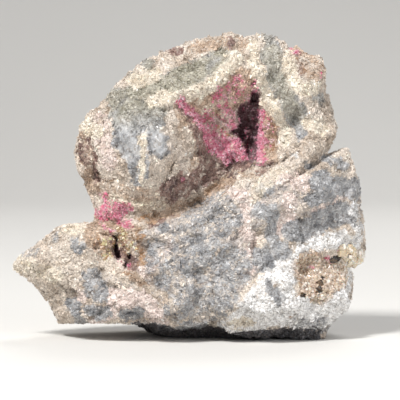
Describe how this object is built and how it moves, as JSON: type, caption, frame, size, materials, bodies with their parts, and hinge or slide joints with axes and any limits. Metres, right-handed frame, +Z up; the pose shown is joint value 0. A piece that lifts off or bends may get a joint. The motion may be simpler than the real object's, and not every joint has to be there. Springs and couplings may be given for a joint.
{
  "type": "erythrite specimen",
  "caption": "Hand-sized lump of pale vein rock with pink erythrite crusts in its hollows and blocky crystals in a side vug, standing on a small flat foot.",
  "frame": {"origin": "bottom centre of the lump's bounding box, in the plane of the flat patch that it stands on", "axes": "+X to the right along the slab, +Y away from the viewer through the lump's thickness, +Z up"},
  "size_m": [0.0996, 0.052, 0.0854],
  "materials": {
    "rock": "rough broken vein rock, granular, cream, white and grey",
    "erythrite": "fine bladed crystals with a soft silky lustre",
    "vug_crystal": "small blocky translucent crystals"
  },
  "bodies": {
    "root": {"matrix_rock": "rock", "erythrite_crust_hollow": "erythrite", "erythrite_crust_pocket": "erythrite", "vug_crystals": "vug_crystal"}
  },
  "joints": []
}
